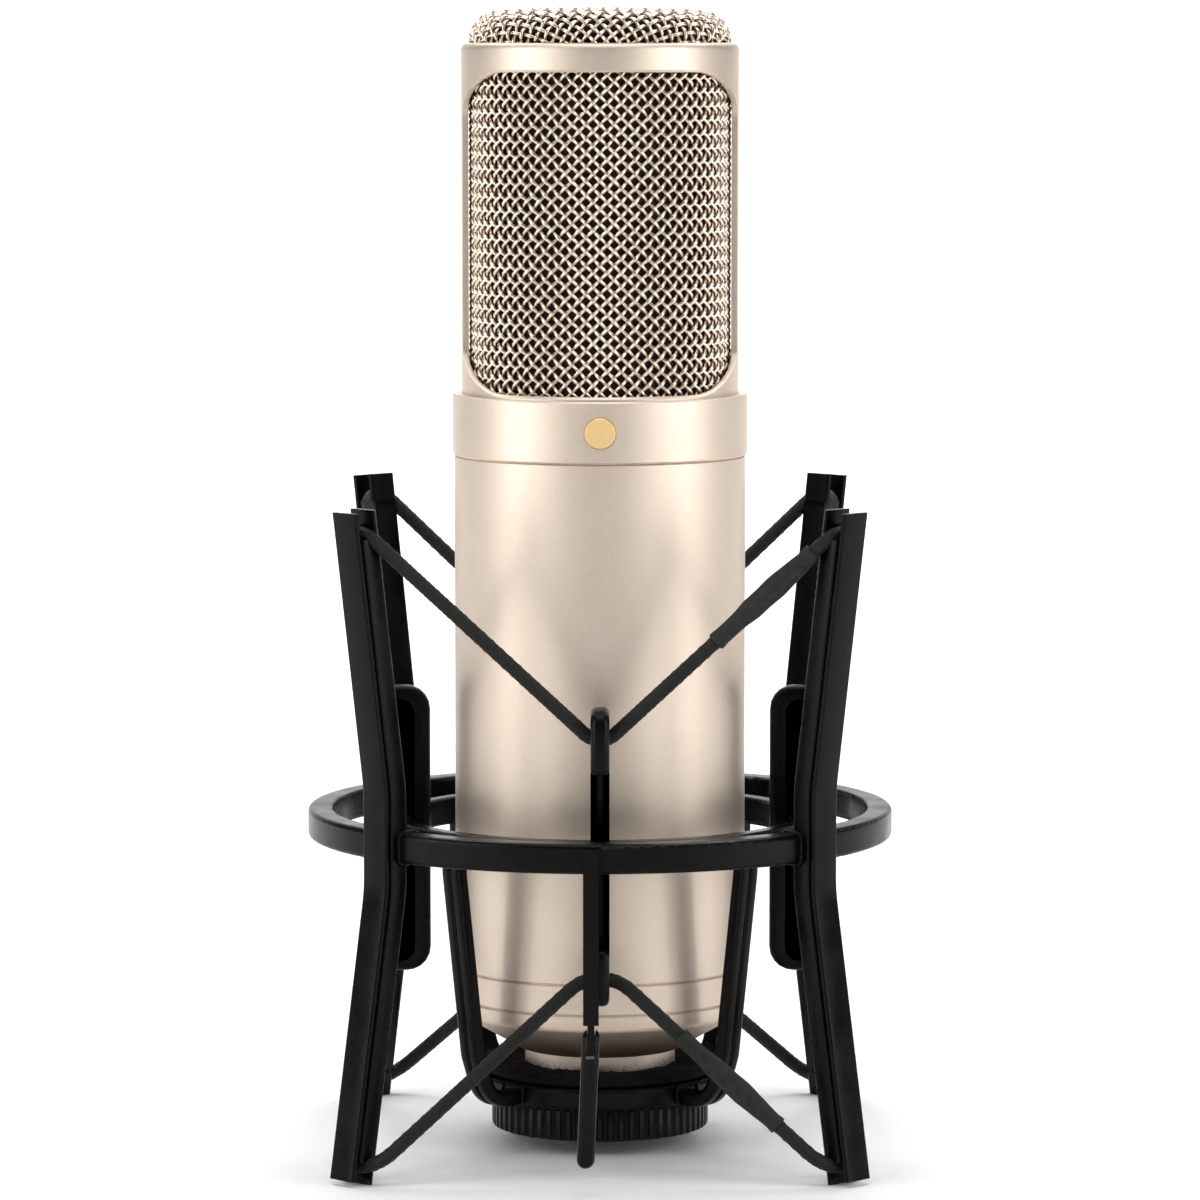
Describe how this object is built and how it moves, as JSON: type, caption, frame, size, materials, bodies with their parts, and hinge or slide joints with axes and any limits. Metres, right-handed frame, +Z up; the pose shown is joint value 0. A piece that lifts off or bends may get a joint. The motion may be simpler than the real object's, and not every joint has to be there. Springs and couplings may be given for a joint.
{
  "type": "condenser microphone",
  "caption": "Side-address condenser microphone with a mesh head, cylindrical metal body and lock nut, hung by elastic cords in a ring-shaped suspension mount on four bent uprights.",
  "frame": {"origin": "on the ground under the microphone's axis, in the plane of the four uprights' feet", "axes": "+Z up along the microphone's axis, the microphone's front and its badge look along -Y, +X to the right as seen from the front"},
  "size_m": [0.121, 0.1456, 0.2349],
  "materials": {
    "champagne": "satin",
    "mesh": "satin",
    "screen": "matte",
    "gold": "satin",
    "contacts": "polished",
    "membrane": "satin",
    "black_frame": "semi-gloss",
    "lock_nut": "satin",
    "felt": "matte",
    "cord": "braided",
    "sleeve": "matte",
    "hardware": "satin",
    "knob": "matte",
    "insulator": "matte",
    "chassis": "satin",
    "capsule": "satin",
    "board": "satin",
    "capacitor": "gloss",
    "valve_glass": "clear"
  },
  "bodies": {
    "frame": {"outer_ring": "black_frame", "front_right_upright": "black_frame", "rear_right_upright": "black_frame", "rear_left_upright": "black_frame", "front_left_upright": "black_frame", "front_strap": "black_frame", "lever_pin": "hardware", "rear_strap": "black_frame", "swivel_bolt": "hardware", "upper_cord": "cord", "lower_cord": "cord", "upper_sleeve": "sleeve", "lower_sleeve": "sleeve"},
    "cradle": {"bottom_cap": "champagne", "lower_band": "champagne", "body_tube": "champagne", "collar": "champagne", "head_cage": "champagne", "threaded_neck": "champagne", "grille_basket": "mesh", "inner_screen": "screen", "badge": "gold", "connector_pins": "contacts", "front_diaphragm": "membrane", "rear_diaphragm": "membrane", "inner_hoop": "black_frame", "front_hook": "black_frame", "right_hook": "black_frame", "rear_hook": "black_frame", "left_hook": "black_frame", "front_right_arm": "black_frame", "rear_right_arm": "black_frame", "rear_left_arm": "black_frame", "front_left_arm": "black_frame", "base_plate": "black_frame", "felt_washer": "felt", "connector_insert": "insulator", "valve_socket": "insulator", "head_floor": "chassis", "left_chassis_bar": "chassis", "right_chassis_bar": "chassis", "chassis_bulkhead": "chassis", "capsule_post": "chassis", "output_transformer": "chassis", "capsule_body": "capsule", "capsule_saddle": "capsule", "circuit_board": "board", "capacitors": "capacitor", "vacuum_valve": "valve_glass"},
    "nut": {"lock_nut": "lock_nut"},
    "lever": {"front_lever": "black_frame"},
    "stand": {"stand_socket": "hardware"},
    "knob": {"swivel_knob": "knob"}
  },
  "joints": [
    {"name": "suspension_travel", "type": "slide", "parent": "frame", "child": "cradle", "axis": [0, 0, 1], "range_m": [-0.003, 0.006], "stiffness_N_per_m": 1500, "springref_m": 0.004, "deforming": ["upper_cord", "upper_sleeve", "lower_cord", "lower_sleeve"]},
    {"name": "nut_turn", "type": "hinge", "parent": "cradle", "child": "nut", "pos_m": [0, 0, 0.0066], "axis": [0, 0, 1], "continuous": true},
    {"name": "lever_swing", "type": "hinge", "parent": "frame", "child": "lever", "pos_m": [-0.0018, -0.06185, 0.0316], "axis": [-1, 0, 0], "range_deg": [0, 95]},
    {"name": "stand_tilt", "type": "hinge", "parent": "frame", "child": "stand", "pos_m": [0, 0.071, 0.046], "axis": [1, 0, 0], "range_deg": [0, 90]},
    {"name": "knob_turn", "type": "hinge", "parent": "frame", "child": "knob", "pos_m": [0.0085, 0.071, 0.046], "axis": [1, 0, 0], "continuous": true}
  ]
}
